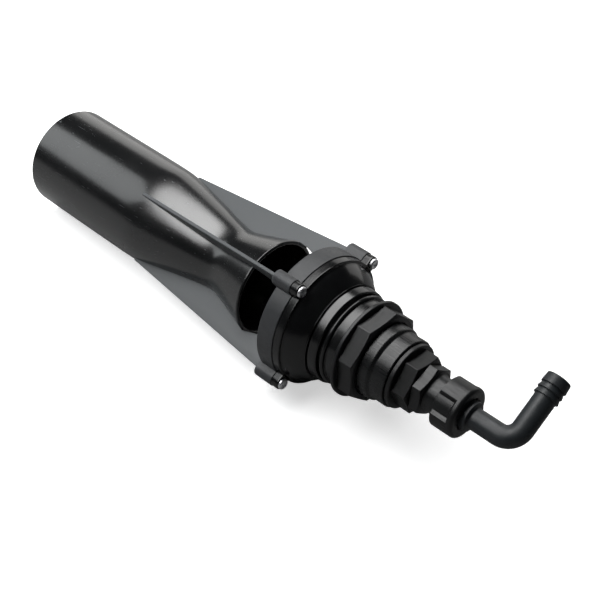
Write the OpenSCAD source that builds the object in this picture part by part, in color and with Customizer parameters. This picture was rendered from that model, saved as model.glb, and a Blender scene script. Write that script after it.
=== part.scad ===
// Venturi foot piece: a long venturi tube held in a four-finned frame, closed by a nozzle cap,
// and fed through a stack of screwed fittings with a sprung check valve, a fly nut and an elbow
// hose tail. Millimetres. +X runs along the tube towards the hose tail, +Z is up, and the origin
// is the centre of the tube's open end.

/* [Venturi tube] */
// Outside diameter of the tube
tube_od = 90; // [75:1:104]
// Wall thickness of the tube, cone and bell
tube_wall = 3.5; // [2.5:0.5:5]
// Length of the straight tube, from the open end to the cone
tube_len = 132.8; // [90:0.2:200]
// Length of the cone, from the straight tube to the middle of the throat
cone_len = 83.2; // [65:0.2:110]
// Outside diameter of the throat
throat_od = 59; // [48:1:66]
// Length of the bell, from the middle of the throat to the mouth
bell_len = 47.7; // [38:0.1:60]
// Outside diameter of the bell mouth
mouth_od = 85.5; // [72:0.5:92]

/* [Fin frame] */
// Length of the open windows, from the bell mouth to the ring
window_len = 35.3; // [28:0.1:46]
// Thickness of each fin
fin_t = 2.8; // [2:0.1:4]
// Outside diameter of the flange ring
ring_od = 110; // [106:1:118]
// Length of the flange ring along the axis
ring_len = 16; // [13:0.5:20]
// Diameter of the water way through the ring
ring_bore = 64; // [56:1:70]

/* [Lugs and screws] */
// Angle of the first lug from +Y towards +Z, which sets how the part lies on the ground
lug_angle = 33.735; // [0:0.005:90]
// Number of fins, lugs and screws
lug_count = 4; // [4:1:4]
// Diameter of the circle that the screws stand on
bolt_pcd = 117.6; // [114:0.2:124]
// Diameter of the screw bosses on the ring
boss_d = 12.2; // [10:0.2:14]
// Length of the boss behind the ring's rear face
boss_back = 2.4; // [0:0.2:5]
// Diameter of the lugs on the cap
lug_d = 11; // [9.6:0.2:13]
// Diameter of the screw shanks
screw_d = 4.2; // [3:0.2:5]
// Length of the screw shanks
screw_len = 20; // [14:1:22]
// Diameter of the screw heads
head_d = 9.2; // [7.6:0.2:10]
// Height of the screw heads
head_h = 2.8; // [2:0.1:3.6]

/* [Nozzle cap] */
// Diameter of the cap's flange
cap_od = 108.4; // [104:0.2:116]
// Thickness of the cap's flange
cap_flange_t = 6.8; // [5:0.2:9]
// Diameter of the domed shoulder where it leaves the flange
dome_od = 102; // [96:0.2:108]
// Distance from the joint to the end of the domed shoulder
dome_len = 22.8; // [19:0.2:28]
// How far the shoulder bulges out of a straight cone
dome_bulge = 1.2; // [0:0.1:3]
// Diameter of the collar behind the neck
collar_od = 81.4; // [76:0.2:88]
// Diameter of the bead on the neck
bead_od = 76.8; // [74:0.2:86]
// Diameter of the neck
neck_od = 71.5; // [68:0.5:80]
// Length of the neck, from the shoulder to its end
neck_len = 23; // [21:0.5:28]
// Diameter of the chamber inside the cap
chamber_d = 86; // [80:1:90]

/* [Jet nozzle] */
// Flange thickness of the jet nozzle
jet_flange_t = 4; // [3:0.5:6]
// Radial width of the flange that is clamped under the cap
jet_lip = 3.2; // [2.4:0.2:4]
// Bore of the nozzle's tip
jet_bore = 18; // [10:1:26]
// Length of the nozzle's cone in front of its flange
jet_len = 26; // [16:1:34]
// Wall thickness of the nozzle's cone
jet_wall = 2.4; // [1.6:0.2:3]

/* [Reducer] */
// Diameter of the reducer's flange
reducer_flange_od = 81.4; // [78:0.2:90]
// Thickness of the reducer's flange
reducer_flange_t = 3.2; // [2:0.2:5]
// Across flats of the reducer's octagon
octagon_af = 71; // [68:0.5:76]
// Length of the octagon
octagon_len = 13.6; // [10:0.2:18]
// Diameter of the reducer's thread in the cap
reducer_thread_d = 59.6; // [54:0.2:64]
// Length of the reducer's thread
reducer_thread_len = 18; // [12:1:21]

/* [Check valve] */
// Diameter of the wide collar of the valve body
body_collar_od = 61.2; // [58.4:0.2:62.8]
// Diameter of the valve body behind its cover
body_od = 56.8; // [55.4:0.2:58]
// Length of the valve body in front of the reducer
body_len = 24.8; // [20:0.2:32]
// Diameter of the valve body's thread in the reducer
body_thread_d = 54; // [48:0.5:55]
// Length of that thread
body_thread_len = 11.6; // [9:0.2:13]
// Bore around the poppet
body_bore = 37.2; // [34:0.2:39]
// Diameter of the cover's flange
cover_flange_od = 53.6; // [52:0.2:58]
// Thickness of the cover's flange
cover_flange_t = 3.8; // [3:0.2:6]
// Across flats of the cover's hexagon
cover_af = 41.3; // [38:0.1:44]
// Length of the cover's hexagon
cover_hex_len = 12.7; // [10:0.1:16]
// Diameter of the cover's thread in the body
cover_thread_d = 46; // [43:0.5:47]
// Length of the cover's thread in the body
cover_thread_len = 9; // [7:0.5:11]
// Diameter of the poppet's head
poppet_d = 29; // [26:0.5:31]
// Thickness of the poppet's head
poppet_t = 3.4; // [2.4:0.2:5]
// Diameter of the poppet's stem
stem_d = 6; // [4:0.5:7]
// Travel of the poppet from shut to open
poppet_travel = 5; // [3:0.5:6]
// Wire diameter of the return spring
spring_wire = 1.4; // [0.8:0.1:1.6]
// Working turns of the return spring
spring_turns = 5; // [4:1:6]

/* [Nipple and fly nut] */
// Across flats of the nipple's hexagon
nipple_af = 36.2; // [33:0.1:40]
// Length of the nipple's hexagon
nipple_hex_len = 8.6; // [7:0.1:12]
// Diameter of the nipple's thread in the cover
nipple_thread_d = 26.4; // [24:0.2:28]
// Length of that thread
nipple_thread_len = 11; // [8:0.5:12]
// Diameter of the nipple's neck and nut thread
nut_thread_d = 29.8; // [27:0.2:31]
// Length of the neck in view between hexagon and nut
nipple_neck_len = 10; // [7:0.2:14]
// Water way through nipple
nipple_bore = 17; // [13:0.5:18]
// Diameter of the nut's barrel
nut_od = 35; // [34.4:0.2:38]
// Diameter over the nut's grip pads
nut_pad_od = 41.4; // [39:0.2:46]
// Length of the nut
nut_len = 21.2; // [18:0.2:26]
// Length of the full round rim at the nut's front
nut_rim_len = 5.4; // [4:0.2:8]
// Number of grip pads on the nut
nut_pads = 3; // [3:1:4]
// Angle that each grip pad covers
nut_pad_angle = 72; // [50:1:75]

/* [Hose tail] */
// Diameter of the tail's boss inside the nut
tail_boss_d = 24.2; // [22:0.2:25]
// Outside diameter of the elbow pipe
tail_od = 17; // [15:0.2:20]
// Wall thickness of the elbow pipe
tail_wall = 2.2; // [1.6:0.1:3]
// Radius of the elbow, on its centre line
elbow_r = 12.5; // [11:0.5:18]
// Distance from the joint face of the cap to the outlet's centre line
outlet_x = 182.2; // [178:0.2:210]
// Distance from the main axis to the end of the outlet
outlet_len = 56.8; // [48:0.2:80]
// Diameter over the hose barbs
barb_od = 20.4; // [19.4:0.2:24]
// Number of hose barbs
barb_count = 3; // [2:1:4]
// Distance between hose barbs
barb_pitch = 4.7; // [4:0.1:6]

/* [Fits] */
// Radial clearance of a screwed thread, which is a plain cylinder here
thread_gap = 0.15; // [0.1:0.05:0.3]
// Radial clearance of a part that is pushed or glued in place
seat_gap = 0.06; // [0.05:0.01:0.15]
// Clearance of parts that turn or slide past each other
run_gap = 0.3; // [0.25:0.05:0.5]
// Radial clearance of the poppet's stem in its guide
stem_gap = 0.08; // [0.05:0.01:0.1]

/* [Hidden] */
$fn = 96;
e = 0.01;

// Stations along the axis, each from the piece before it
throat_x = tube_len + cone_len;
mouth_x = throat_x + bell_len;
ring_x = mouth_x + window_len;
joint_x = ring_x + ring_len;
dome_x = joint_x + dome_len;
neck_x = dome_x + neck_len;
gasket_t = 0.9;
reducer_x = neck_x + gasket_t;
octagon_x = reducer_x + reducer_flange_t;
octagon_end = octagon_x + octagon_len;
recess_depth = 4;
body_x = octagon_end - recess_depth + 3;
body_end = body_x + body_len;
cover_gap = 0.5;
cover_x = body_end + cover_gap;
cover_hex_x = cover_x + cover_flange_t;
cover_end = cover_hex_x + cover_hex_len;
washer_t = 0.9;
nipple_x = cover_end + washer_t;
nipple_neck_x = nipple_x + nipple_hex_len;
nut_x = nipple_neck_x + nipple_neck_len;
nut_end = nut_x + nut_len;
elbow_x = joint_x + outlet_x;

lug_step = 360 / lug_count;
octagon_corner = lug_angle + 82.5;
cover_corner = lug_angle + 81.5;
nipple_corner = lug_angle + 112;
pad_middle = lug_angle + 54;

// Places on the radius
tube_r = tube_od / 2;
throat_r = throat_od / 2;
mouth_r = mouth_od / 2;
ring_r = ring_od / 2;
bolt_r = bolt_pcd / 2;
boss_r = boss_d / 2;
fin_tip_r = bolt_r + boss_r * 0.2;
jet_flange_r = chamber_d / 2 + jet_lip;
neck_bore_r = reducer_thread_d / 2 + thread_gap;

// O-rings: section radius, and how much deeper and wider the groove is cut
cord_r = 1.4;
small_cord_r = 0.9;
groove_slack = 0.1;
// Width of the land between the jet nozzle's seat and the flange's groove
seal_land = 2.87;
flange_cord_r = jet_flange_r + seat_gap + seal_land + cord_r + groove_slack;

// Check valve
body_bore_r = body_bore / 2;
guide_r = body_bore_r + 1.4;
guide_t = 3;
guide_hub_len = 4;
guide_hub_r = stem_d / 2 + 2.6;
body_back = body_x - body_thread_len;
clip_t = 1.2;
clip_x = body_back + 2.6;
guide_x = clip_x + clip_t + 0.1;
seat_t = 2.4;
seat_face_x = cover_x - cover_thread_len - 0.4;
seat_lip_d = 23;
poppet_x = seat_face_x - 0.1;
poppet_back = poppet_x - poppet_t;
spring_r = guide_hub_r + spring_wire / 2 + 0.5;

// Hose tail
tail_r = tail_od / 2;
tail_bore_r = tail_r - tail_wall;
tail_boss_r = tail_boss_d / 2;
nut_lip_t = 3.4;
nut_round = 2.8;
snap_t = 1.6;
nut_bore_r = nut_thread_d / 2 + thread_gap;
nut_hole_r = tail_boss_r + run_gap;
snap_x = nut_end - nut_lip_t - run_gap - snap_t;
tail_x = snap_x - 1.6;
tail_washer_t = 1.8;
nipple_end = tail_x - tail_washer_t - 0.1;
boss_end = nut_end + 4.2;

// Draws a thing that stands along Z so that it lies along +X, starting at x
module along(x) translate([x, 0, 0]) rotate([0, 90, 0]) children();

// Turns a thing drawn towards +Y about the main axis, counted from +Y towards +Z
module turned(a) rotate([a, 0, 0]) children();

// A plain round length of the main axis
module rod(x0, x1, r, r2 = -1) along(x0) cylinder(h = x1 - x0, r1 = r, r2 = r2 < 0 ? r : r2);

// A tube from x0 to x1 with a round hole
module sleeve(x0, x1, r, hole) {
    difference() {
        rod(x0, x1, r);
        rod(x0 - 1, x1 + 1, hole);
    }
}

// A profile of [x, radius] points turned about the main axis
module lathe(points) rotate([0, 90, 0]) rotate_extrude() polygon([for (p = points) [p[1], p[0]]]);

// A prism with flat sides, one corner at the given angle from +Y towards +Z
module prism(x0, x1, across_flats, sides, corner) {
    turned(corner + 90) along(x0)
        cylinder(h = x1 - x0, r = across_flats / 2 / cos(180 / sides), $fn = sides);
}

// The chamfer cone that trims a prism's corners at its front end
module corner_trim(x0, x1, r_full, r_end, bevel) {
    lathe([[x0, 0], [x0, r_full], [x1 - bevel, r_full], [x1, r_end], [x1, 0]]);
}

// A ring of round section about the main axis
module cord_ring(x, r, section) along(x) rotate_extrude() translate([r, 0]) circle(section, $fn = 32);

// Points of a round corner: centre, radius, from angle a0 to a1, in n steps
function arc(c, r, a0, a1, n = 6) =
    [for (i = [0:n]) let (a = a0 + (a1 - a0) * i / n) [c[0] + r * cos(a), c[1] + r * sin(a)]];

// Outer radius of the venturi at distance d from the throat, on a side that reaches radius r
// at distance len. The curve is a hyperbola: round at the throat, straight further out.
throat_round = 2.2;
function venturi_r(d, len, r) =
    let (rise = r - throat_r, slope = sqrt(pow(rise + throat_round, 2) - pow(throat_round, 2)) / len)
    throat_r - throat_round + sqrt(pow(slope * d, 2) + pow(throat_round, 2));

// The venturi's outline from the open end to the mouth, at a distance inside the outer surface
function venturi_line(inset) = concat(
    [[0, tube_r - inset]],
    [for (i = [0:9]) let (d = cone_len * (1 - i / 10)) [throat_x - d, venturi_r(d, cone_len, tube_r) - inset]],
    [for (i = [0:8]) let (d = bell_len * i / 8) [throat_x + d, venturi_r(d, bell_len, mouth_r) - inset]]
);
function reversed(list) = [for (i = [len(list) - 1:-1:0]) list[i]];

module venturi_tube() {
    color("#1b1c1e") lathe(concat(venturi_line(0), reversed(venturi_line(tube_wall))));
}

// One fin: a thin plate from the tube to the ring, straight along its outer edge. Its inner
// edge follows the venturi, then runs from the mouth to the ring's water way.
module fin() {
    translate([0, 0, -fin_t / 2]) linear_extrude(fin_t)
        polygon(concat(
            [[tube_len, tube_r + seat_gap]],
            [for (p = venturi_line(-seat_gap)) if (p[0] > tube_len) p],
            [[ring_x, ring_bore / 2], [ring_x, fin_tip_r]]
        ));
}

module fin_frame() {
    color("#3a3c3f") difference() {
        union() {
            rod(ring_x, joint_x, ring_r);
            for (i = [0:lug_count - 1]) turned(lug_angle + i * lug_step) {
                fin();
                translate([0, bolt_r, 0]) rod(ring_x - boss_back, joint_x, boss_r);
                translate([ring_x, ring_r - 4, -boss_r]) cube([ring_len, bolt_r - ring_r + 4, boss_d]);
            }
        }
        rod(ring_x - 1, joint_x + 1, ring_bore / 2);
        rod(joint_x - jet_flange_t - 0.1, joint_x + 1, jet_flange_r + seat_gap);
        sleeve(joint_x - 2 * cord_r, joint_x + 1, flange_cord_r + cord_r + groove_slack,
            flange_cord_r - cord_r - groove_slack);
        for (i = [0:lug_count - 1]) turned(lug_angle + i * lug_step) translate([0, bolt_r, 0])
            rod(joint_x + cap_flange_t - screw_len - 1, joint_x + 1, screw_d / 2 + seat_gap);
    }
}

module flange_o_ring() {
    color("#101010") cord_ring(joint_x - cord_r, flange_cord_r, cord_r);
}

// Half outline of the cap's outside, from the joint to the end of the neck
collar_len = 8.6;
bead_len = 4;
edge_r = 1.4;
function cap_outline() =
    let (rim_x = joint_x + cap_flange_t, dome_x0 = rim_x + 1, collar = collar_od / 2, bead = bead_od / 2,
        collar_end = dome_x - 0.4 + collar_len, bead_x = collar_end + 1.6 + bead_len / 2)
    concat(
        [[joint_x, cap_od / 2], [rim_x - 0.8, cap_od / 2], [rim_x, cap_od / 2 - 0.8]],
        [[rim_x, dome_od / 2 + 0.6], [dome_x0, dome_od / 2]],
        [for (i = [1:8]) let (t = i / 8)
            [dome_x0 + (dome_x - 1 - dome_x0) * t,
             dome_od / 2 + (collar - 1 - dome_od / 2) * t + 4 * dome_bulge * t * (1 - t)]],
        [[dome_x - 0.8, collar - 2.4]],
        arc([dome_x + 0.8, collar - edge_r], edge_r, 180, 90, 4),
        arc([collar_end - edge_r, collar - 0.9 - edge_r], edge_r, 90, 0, 4),
        [[collar_end, bead - 2.2]],
        arc([bead_x, bead - bead_len / 2], bead_len / 2, 180, 0, 8),
        [[bead_x + bead_len / 2, neck_od / 2], [neck_x - 0.6, neck_od / 2], [neck_x, neck_od / 2 - 0.6]]
    );

module nozzle_cap() {
    chamber_end = dome_x - 8;
    color("#17181a") difference() {
        union() {
            lathe(concat([[joint_x, 0]], cap_outline(), [[neck_x, 0]]));
            for (i = [0:lug_count - 1]) turned(lug_angle + i * lug_step) {
                translate([0, bolt_r, 0]) rod(joint_x, joint_x + cap_flange_t, lug_d / 2);
                translate([joint_x, ring_r - 6, -lug_d / 2])
                    cube([cap_flange_t, bolt_r - ring_r + 6, lug_d]);
            }
        }
        rod(joint_x - 1, chamber_end, chamber_d / 2);
        rod(chamber_end - e, dome_x - 1, chamber_d / 2, neck_bore_r);
        rod(dome_x - 1 - e, neck_x + 1, neck_bore_r);
        for (i = [0:lug_count - 1]) turned(lug_angle + i * lug_step) translate([0, bolt_r, 0])
            rod(joint_x - 1, joint_x + cap_flange_t + 1, screw_d / 2 + seat_gap);
    }
}

// One pan-head screw with a cross recess, standing on the cap's lug
module screw() {
    seat = joint_x + cap_flange_t;
    difference() {
        union() {
            rod(seat - screw_len, seat + e, screw_d / 2);
            lathe(concat([[seat, 0], [seat, head_d / 2]],
                arc([seat + 0.8, head_d / 2 - head_h + 0.8], head_h - 0.8, 90, 20, 5),
                [[seat + head_h, head_d / 2 - head_h + 0.4], [seat + head_h, 0]]));
        }
        for (a = [0, 90]) rotate([a, 0, 0]) translate([seat + head_h - 1.4, -head_d * 0.27, -0.5])
            cube([2, head_d * 0.54, 1]);
    }
}

module cap_screws() {
    color("#d8dadc") for (i = [0:lug_count - 1])
        turned(lug_angle + i * lug_step) translate([0, bolt_r, 0]) screw();
}

// The jet nozzle: a flange that the cap clamps into the ring, and a cone towards the mouth
module jet_nozzle() {
    tip_r = jet_bore / 2;
    root_r = ring_bore / 2 - 4;
    flange_x = joint_x - jet_flange_t;
    color("#26282a") difference() {
        union() {
            rod(flange_x, joint_x, jet_flange_r);
            rod(flange_x - jet_len, flange_x + e, tip_r + jet_wall, root_r);
        }
        rod(flange_x - jet_len - 1, flange_x - jet_len + 6, tip_r);
        rod(flange_x - jet_len + 6 - e, joint_x + 1, tip_r, root_r - jet_wall);
        sleeve(joint_x - 2 * small_cord_r, joint_x + 1, jet_cord_r() + small_cord_r + groove_slack,
            jet_cord_r() - small_cord_r - groove_slack);
    }
}
function jet_cord_r() = chamber_d / 2 + jet_lip / 2;

module jet_o_ring() {
    color("#101010") cord_ring(joint_x - small_cord_r, jet_cord_r(), small_cord_r);
}

module reducer_gasket() {
    color("#151515") sleeve(neck_x, reducer_x, neck_od / 2 - 1, neck_bore_r + 0.2);
}

// The reducer: a thread into the cap, a thin round flange, and an octagon to grip it by
module reducer_bush() {
    color("#3d3f42") difference() {
        union() {
            rod(reducer_x - reducer_thread_len, reducer_x + e, reducer_thread_d / 2);
            rod(reducer_x, octagon_x, reducer_flange_od / 2);
            intersection() {
                prism(octagon_x - e, octagon_end, octagon_af, 8, octagon_corner);
                corner_trim(octagon_x - 1, octagon_end, octagon_af, octagon_af / 2, octagon_af * 0.13);
            }
        }
        rod(reducer_x - reducer_thread_len - 1, octagon_end + 1, body_bore_r + 3.2);
        rod(body_back - 0.6, octagon_end + 1, body_thread_d / 2 + thread_gap);
        rod(octagon_end - recess_depth, octagon_end + 1, body_collar_od / 2 + 0.6);
    }
}

module collar_o_ring() {
    color("#101010") cord_ring(octagon_end - recess_depth + cord_r, body_thread_d / 2 + cord_r + 0.2, cord_r);
}

// The check valve's body: a thread into the reducer, a wide collar, and the bore for the poppet
module check_valve_body() {
    collar_x = body_x;
    collar_w = body_len * 0.42;
    step_x = collar_x + collar_w;
    color("#4a4c4f") difference() {
        union() {
            rod(body_back, body_x + e, body_thread_d / 2);
            lathe(concat([[collar_x, 0]],
                arc([collar_x + 1, body_collar_od / 2 - 1], 1, 180, 90, 3),
                arc([step_x - 2.2, body_collar_od / 2 - 2.2], 2.2, 90, 20, 4),
                [[step_x + 1, body_od / 2 - 0.6], [step_x + 2.4, body_od / 2]],
                arc([body_end - 0.8, body_od / 2 - 0.8], 0.8, 90, 0, 3), [[body_end, 0]]));
        }
        rod(body_back - 1, guide_x + guide_t + 0.1, guide_r + seat_gap);
        rod(guide_x, body_end + 1, body_bore_r);
        rod(clip_x - 0.1, clip_x + clip_t + 0.1, guide_r + 1.2);
        rod(seat_face_x, body_end + 1, cover_thread_d / 2 + thread_gap);
        sleeve(body_end - 2 * small_cord_r + cover_gap, body_end + 1,
            cover_cord_r() + small_cord_r + groove_slack, cover_cord_r() - small_cord_r - groove_slack);
    }
}
function cover_cord_r() = cover_thread_d / 2 + thread_gap + small_cord_r + 0.7;

// An open ring of flat wire: a circlip or snap ring with a gap of the given angle
module open_ring(x, t, r_out, r_in, gap, a) {
    turned(a) along(x) rotate([0, 0, gap / 2]) rotate_extrude(angle = 360 - gap)
        translate([r_in, 0]) square([r_out - r_in, t]);
}

module guide_clip() {
    color("#b9bcc0") open_ring(clip_x, clip_t, guide_r + 1.1, guide_r - 1.9, 34, 0);
}

// The spider that guides the poppet's stem: a rim, three arms and a hub
module poppet_guide() {
    color("#4a4c4f") difference() {
        union() {
            sleeve(guide_x, guide_x + guide_t, guide_r, guide_r - 2.2);
            rod(guide_x, guide_x + guide_t + guide_hub_len, guide_hub_r);
            for (a = [0, 120, 240]) turned(a + 30) translate([guide_x, 0, -1.3])
                cube([guide_t, guide_r - 1, 2.6]);
        }
        rod(guide_x - 1, guide_x + guide_t + guide_hub_len + 1, stem_d / 2 + stem_gap);
    }
}

// The return spring: a round wire wound about the guide's hub, with both ends wound flat
spring_x0 = guide_x + guide_t + 0.05;
spring_len = poppet_back - spring_x0 - 0.05;
function spring_path(t) =
    let (turns = spring_turns + 2, flat = 1 / turns,
        rise = (min(max(t, flat), 1 - flat) - flat) / (1 - 2 * flat),
        a = 360 * turns * t)
    [spring_x0 + spring_wire / 2 + (spring_len - spring_wire) * (
        spring_wire / spring_len * min(t, flat) / flat * 0.9
        + (1 - 1.8 * spring_wire / spring_len) * rise
        + spring_wire / spring_len * max(t - 1 + flat, 0) / flat * 0.9),
        spring_r * cos(a), spring_r * sin(a)];

module return_spring() {
    sides = 8;
    rings = 20 * (spring_turns + 2);
    points = [for (i = [0:rings]) let (c = spring_path(i / rings), a = 360 * (spring_turns + 2) * i / rings)
        for (k = [0:sides - 1]) let (b = 360 * k / sides)
            [c[0] + spring_wire / 2 * sin(b),
             c[1] + spring_wire / 2 * cos(b) * cos(a),
             c[2] + spring_wire / 2 * cos(b) * sin(a)]];
    walls = [for (i = [0:rings - 1]) for (k = [0:sides - 1])
        [i * sides + k, i * sides + (k + 1) % sides,
         (i + 1) * sides + (k + 1) % sides, (i + 1) * sides + k]];
    caps = [[for (k = [sides - 1:-1:0]) k], [for (k = [0:sides - 1]) rings * sides + k]];
    color("#c8cacc") polyhedron(points, concat(walls, caps), convexity = 10);
}

// The poppet: a flat head that shuts on the seat ring, a low nose and a guided stem
module poppet() {
    nose_r = seat_lip_d / 2 - 2.5;
    color("#b7a06a") {
        difference() {
            union() {
                rod(poppet_back, poppet_x, poppet_d / 2);
                rod(poppet_x - e, poppet_x + 3, nose_r, nose_r - 4);
                rod(guide_x - 1, poppet_back + e, stem_d / 2);
            }
            rod(poppet_x + 1.8, poppet_x + 4, 1.6);
        }
    }
}

module seat_ring() {
    color("#141414") sleeve(seat_face_x, seat_face_x + seat_t, poppet_d / 2 + 1.2, seat_lip_d / 2);
}

module cover_o_ring() {
    color("#101010") cord_ring(cover_x - small_cord_r, cover_cord_r(), small_cord_r);
}

// The check valve's cover: a thread into the body, a round flange, and a hexagon
module check_valve_cover() {
    color("#35373a") difference() {
        union() {
            rod(seat_face_x + 0.2, cover_x + e, cover_thread_d / 2);
            lathe([[cover_x, 0], [cover_x, cover_flange_od / 2 - 0.5], [cover_x + 0.5, cover_flange_od / 2],
                [cover_hex_x - 0.5, cover_flange_od / 2], [cover_hex_x, cover_flange_od / 2 - 0.5],
                [cover_hex_x, 0]]);
            intersection() {
                prism(cover_hex_x - e, cover_end, cover_af, 6, cover_corner);
                corner_trim(cover_hex_x - 1, cover_end, cover_af, cover_af / 2, cover_af * 0.06);
            }
        }
        rod(seat_face_x - 1, cover_end + 1, seat_lip_d / 2);
        rod(seat_face_x - 1, seat_face_x + seat_t + 0.05, poppet_d / 2 + 1.2 + seat_gap);
        rod(cover_end - nipple_thread_len - 1, cover_end + 1, nipple_thread_d / 2 + thread_gap);
    }
}

module nipple_washer() {
    color("#151515") sleeve(cover_end, nipple_x, nipple_af / 2 - 2, nipple_thread_d / 2 + 0.4);
}

// The hex nipple: one thread into the cover, a hexagon, and a neck that the fly nut screws on
module hex_nipple() {
    color("#55575a") difference() {
        union() {
            rod(cover_end - nipple_thread_len, nipple_x + e, nipple_thread_d / 2);
            intersection() {
                prism(nipple_x, nipple_neck_x, nipple_af, 6, nipple_corner);
                corner_trim(nipple_x - 1, nipple_neck_x, nipple_af, nipple_af / 2, nipple_af * 0.05);
            }
            lathe([[nipple_neck_x - e, 0], [nipple_neck_x - e, nut_thread_d / 2 + 1.4],
                [nipple_neck_x + 1.6, nut_thread_d / 2], [nipple_end - 1, nut_thread_d / 2],
                [nipple_end, nut_thread_d / 2 - 1], [nipple_end, 0]]);
        }
        rod(cover_end - nipple_thread_len - 1, nipple_end + 1, nipple_bore / 2);
    }
}

module tail_washer() {
    color("#151515") sleeve(nipple_end, nipple_end + tail_washer_t, tail_boss_r - 0.2, nipple_bore / 2);
}

// The fly nut: a barrel with broad raised grip pads, and a lip that holds the tail's snap ring
module fly_nut() {
    rim_x = nut_end - nut_rim_len;
    rim_r = nut_pad_od / 2;
    hole = nut_hole_r;
    color("#35373a") difference() {
        union() {
            lathe(concat([[nut_x, 0], [nut_x, nut_od / 2 - 0.5], [nut_x + 0.5, nut_od / 2]],
                [[rim_x - 1, nut_od / 2], [rim_x + 0.8, rim_r]],
                arc([nut_end - nut_round, rim_r - nut_round], nut_round, 90, 10, 5), [[nut_end, 0]]));
            for (i = [0:nut_pads - 1]) turned(pad_middle + i * 360 / nut_pads) pad(nut_x + 0.6, rim_x + 1.5);
        }
        rod(nut_x - 1, nut_end - nut_lip_t, nut_bore_r);
        rod(nut_x, nut_end + 1, hole);
        rod(nut_end - 1.2, nut_end + e, hole, hole + 1.2);
    }
}

// One grip pad: a slice of a wide ring that runs from the nut's rear into its front rim
module pad(x0, x1) {
    rotate([-nut_pad_angle / 2, 0, 0]) rotate([0, 90, 0]) rotate([0, 0, 90])
        rotate_extrude(angle = nut_pad_angle)
            polygon([[nut_od / 2 - 1, x0], [nut_pad_od / 2 - 1, x0], [nut_pad_od / 2, x0 + 1],
                [nut_pad_od / 2, x1], [nut_od / 2 - 1, x1]]);
}

module tail_snap_ring() {
    color("#b9bcc0") open_ring(snap_x, snap_t, nut_bore_r - run_gap, tail_boss_r - 1.1, 20, 200);
}

// The hose tail: a boss inside the nut, a round elbow, and a barbed outlet
module hose_tail() {
    color("#43464a") difference() {
        union() {
            rod(tail_x, boss_end, tail_boss_r);
            rod(boss_end - e, boss_end + 1.6, tail_boss_r, tail_r);
            turned(lug_angle) {
                rod(boss_end - 1, elbow_x - elbow_r, tail_r);
                elbow(tail_r);
                outlet();
            }
        }
        turned(lug_angle) {
            rod(tail_x - 1, elbow_x - elbow_r, tail_bore_r);
            elbow(tail_bore_r);
            translate([elbow_x, elbow_r, 0]) rotate([-90, 0, 0])
                cylinder(h = outlet_len, r = tail_bore_r);
        }
        sleeve(snap_x - 0.1, snap_x + snap_t + 0.1, tail_boss_r + 1, tail_boss_r - 1.2);
    }
}

// A quarter turn of pipe from the main axis towards +Y
module elbow(r) {
    translate([elbow_x - elbow_r, elbow_r, 0]) rotate([0, 0, -90])
        rotate_extrude(angle = 90) translate([elbow_r, 0]) circle(r);
}

// The straight outlet with its barbs, each a cone that opens towards the elbow
module outlet() {
    barb_x = outlet_len - 8 - (barb_count - 1) * barb_pitch;
    translate([elbow_x, 0, 0]) rotate([-90, 0, 0]) {
        translate([0, 0, elbow_r]) cylinder(h = outlet_len - elbow_r, r = tail_r);
        for (i = [0:barb_count - 1]) translate([0, 0, barb_x + i * barb_pitch])
            cylinder(h = i == barb_count - 1 ? 8 : barb_pitch, r1 = barb_od / 2, r2 = tail_r + 0.02);
    }
}

venturi_tube();
fin_frame();
flange_o_ring();
nozzle_cap();
cap_screws();
jet_nozzle();
jet_o_ring();
reducer_gasket();
reducer_bush();
collar_o_ring();
check_valve_body();
guide_clip();
poppet_guide();
return_spring();
poppet();
seat_ring();
cover_o_ring();
check_valve_cover();
nipple_washer();
hex_nipple();
tail_washer();
fly_nut();
tail_snap_ring();
hose_tail();
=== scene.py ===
"""Venturi foot piece with its check valve, fly nut and hose tail, made to be looked at.

The packed CAD model is the fixed frame. Each visible piece is replaced by a finer surface: rows of
points round a centre line, where a row is a station along the line and a radius that may change
with the angle. Outlines are in millimetres, and a mesh is in metres. X runs along the tube.
"""

import math

import bpy
import numpy as np
from mathutils import Matrix, Vector


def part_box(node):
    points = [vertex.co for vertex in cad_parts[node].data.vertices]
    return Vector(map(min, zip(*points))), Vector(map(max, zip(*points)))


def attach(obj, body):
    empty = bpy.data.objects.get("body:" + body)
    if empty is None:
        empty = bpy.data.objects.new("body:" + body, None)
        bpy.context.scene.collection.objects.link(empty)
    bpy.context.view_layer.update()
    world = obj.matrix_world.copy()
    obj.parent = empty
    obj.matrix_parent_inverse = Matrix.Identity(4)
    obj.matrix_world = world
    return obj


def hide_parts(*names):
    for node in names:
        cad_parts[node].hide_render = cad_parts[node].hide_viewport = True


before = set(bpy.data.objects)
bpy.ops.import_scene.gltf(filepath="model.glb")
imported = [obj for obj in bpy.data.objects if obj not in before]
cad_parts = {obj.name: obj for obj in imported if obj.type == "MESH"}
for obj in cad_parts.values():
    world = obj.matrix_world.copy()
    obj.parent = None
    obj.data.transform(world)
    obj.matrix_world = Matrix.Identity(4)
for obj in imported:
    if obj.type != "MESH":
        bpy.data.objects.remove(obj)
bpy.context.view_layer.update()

bl_info = {
    "name": "Venturi foot piece",
    "version": (1, 0, 0),
    "blender": (4, 5, 0),
    "location": "View3D > Sidebar > Foot piece",
    "description": "Builds the finished surfaces of a venturi foot piece around its CAD frame",
    "category": "Object",
}

MM = 0.001


# ---------------------------------------------------------------- where the CAD pieces are

def ends(node):
    """First and last station of a CAD node along the tube, in millimetres."""
    low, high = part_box(node)
    return low.x / MM, high.x / MM


def reach(node):
    """Largest distance of a CAD node's box from the main axis, in metres."""
    low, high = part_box(node)
    return max(high.y, -low.y, high.z, -low.z)


RING_END = ends("fin_frame")[1]
SCREW_END = ends("cap_screws")[1]
# The lugs are turned so that the ring's rim and one lug lie on the ground
FIN_ANGLE = math.radians(33.735)
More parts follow.
